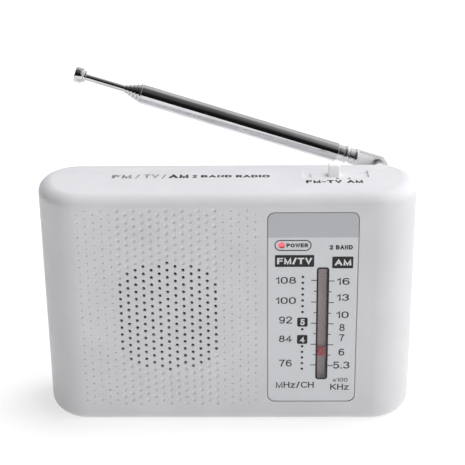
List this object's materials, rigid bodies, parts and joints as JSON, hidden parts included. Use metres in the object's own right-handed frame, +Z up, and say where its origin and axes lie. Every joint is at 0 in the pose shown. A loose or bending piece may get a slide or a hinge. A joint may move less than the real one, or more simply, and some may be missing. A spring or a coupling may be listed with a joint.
{
  "type": "tabletop radio",
  "caption": "Small tabletop radio: flat upright case with round ends, speaker grille, dial plate with a sliding pointer, band switch on top and a telescopic antenna.",
  "frame": {"origin": "middle of the case's flat bottom face, halfway between its front and back", "axes": "+X to the radio's right as seen from the front, -Y out of the front, +Z up"},
  "size_m": [0.115, 0.0364, 0.1049],
  "materials": {
    "case_white": "white moulded plastic, satin, with a fine spark-eroded grain",
    "plate_silver": "thin printed plate, silver lacquer with a darker top band",
    "window_smoke": "clear plastic with a smoky brown tint",
    "pointer_red": "red moulded plastic",
    "lamp_red": "translucent red lamp body",
    "black_plastic": "black moulded plastic",
    "ivory_plastic": "natural nylon",
    "chrome": "polished chrome plating on brass tube",
    "plated_steel": "zinc-plated steel",
    "board_green": "circuit board with green solder mask",
    "enamelled_copper": "enamelled copper wire",
    "sleeve_blue": "printed shrink sleeve",
    "filter_orange": "orange dipped coating",
    "ferrite_grey": "dull dark grey ferrite",
    "cone_paper": "black pressed paper",
    "cell_sleeve": "dark grey sleeve over a steel can"
  },
  "bodies": {
    "radio": {"air_coil_1": "enamelled_copper", "air_coil_2": "enamelled_copper", "antenna_coil": "enamelled_copper", "antenna_screw": "plated_steel", "antenna_washer": "plated_steel", "band_switch_body": "black_plastic", "battery_cell_1": "cell_sleeve", "battery_cell_2": "cell_sleeve", "battery_link_plate": "plated_steel", "battery_negative_plate": "plated_steel", "battery_positive_plate": "plated_steel", "battery_spring_1": "plated_steel", "battery_spring_2": "plated_steel", "board_screw_1": "plated_steel", "board_screw_2": "plated_steel", "case_screw_1": "plated_steel", "case_screw_2": "plated_steel", "case_screw_3": "plated_steel", "ceramic_filter": "filter_orange", "circuit_board": "board_green", "dial_plate": "plate_silver", "dial_window": "window_smoke", "ferrite_holder_1": "ivory_plastic", "ferrite_holder_2": "ivory_plastic", "ferrite_rod": "ferrite_grey", "front_shell": "case_white", "if_can_1": "plated_steel", "if_can_2": "plated_steel", "oscillator_can": "plated_steel", "output_capacitor": "sleeve_blue", "power_led": "lamp_red", "radio_chip": "black_plastic", "rear_shell": "case_white", "speaker_cone": "cone_paper", "speaker_frame": "plated_steel", "speaker_magnet": "ferrite_grey", "supply_capacitor": "sleeve_blue", "tuning_capacitor": "ivory_plastic", "volume_potentiometer": "plated_steel"},
    "antenna_base": {"antenna_knuckle": "chrome", "antenna_tube_1": "chrome"},
    "antenna_section_2": {"antenna_tube_2": "chrome"},
    "antenna_section_3": {"antenna_tube_3": "chrome"},
    "antenna_section_4": {"antenna_tube_4": "chrome"},
    "antenna_section_5": {"antenna_tube_5": "chrome"},
    "antenna_end": {"antenna_rod": "chrome", "antenna_tip": "chrome"},
    "tuning_drive": {"drive_gear": "ivory_plastic", "tuning_shaft": "plated_steel", "tuning_wheel": "black_plastic", "tuning_wheel_screw": "plated_steel"},
    "pointer": {"dial_pointer": "pointer_red"},
    "volume_drive": {"volume_shaft": "plated_steel", "volume_wheel": "black_plastic", "volume_wheel_screw": "plated_steel"},
    "band_knob": {"band_switch_knob": "case_white"},
    "door": {"battery_door": "case_white"}
  },
  "joints": [
    {"name": "antenna_swing", "type": "hinge", "parent": "radio", "child": "antenna_base", "pos_m": [0.0472, 0.0184, 0.0726], "axis": [0, 1, 0], "range_deg": [-17.8, 162.2]},
    {"name": "antenna_slide_2", "type": "slide", "parent": "antenna_base", "child": "antenna_section_2", "axis": [-0.9521, 0, 0.3057], "range_m": [0, 0.047]},
    {"name": "antenna_slide_3", "type": "slide", "parent": "antenna_section_2", "child": "antenna_section_3", "axis": [-0.9521, 0, 0.3057], "range_m": [0, 0.047]},
    {"name": "antenna_slide_4", "type": "slide", "parent": "antenna_section_3", "child": "antenna_section_4", "axis": [-0.9521, 0, 0.3057], "range_m": [0, 0.047]},
    {"name": "antenna_slide_5", "type": "slide", "parent": "antenna_section_4", "child": "antenna_section_5", "axis": [-0.9521, 0, 0.3057], "range_m": [0, 0.047]},
    {"name": "antenna_rod_slide", "type": "slide", "parent": "antenna_section_5", "child": "antenna_end", "axis": [-0.9521, 0, 0.3057], "range_m": [-0.0122, 0.038]},
    {"name": "tuning_turn", "type": "hinge", "parent": "radio", "child": "tuning_drive", "pos_m": [0.0432, 0, 0.036], "axis": [0, 1, 0], "range_deg": [-26.4, 153.6]},
    {"name": "pointer_slide", "type": "slide", "parent": "radio", "child": "pointer", "axis": [0, 0, 1], "range_m": [-0.00415, 0.02413]},
    {"name": "volume_turn", "type": "hinge", "parent": "radio", "child": "volume_drive", "pos_m": [0.0481, 0, 0.0602], "axis": [0, 1, 0], "range_deg": [-150, 150]},
    {"name": "band_slide", "type": "slide", "parent": "radio", "child": "band_knob", "axis": [1, 0, 0], "range_m": [0, 0.0033]},
    {"name": "door_tilt", "type": "hinge", "parent": "radio", "child": "door", "pos_m": [0, 0.015, 0.0039], "axis": [-1, 0, 0], "range_deg": [0, 80]}
  ],
  "couplings": [
    {"joint": "tuning_turn", "follows": "pointer_slide", "rad_per_m": 111.11}
  ]
}
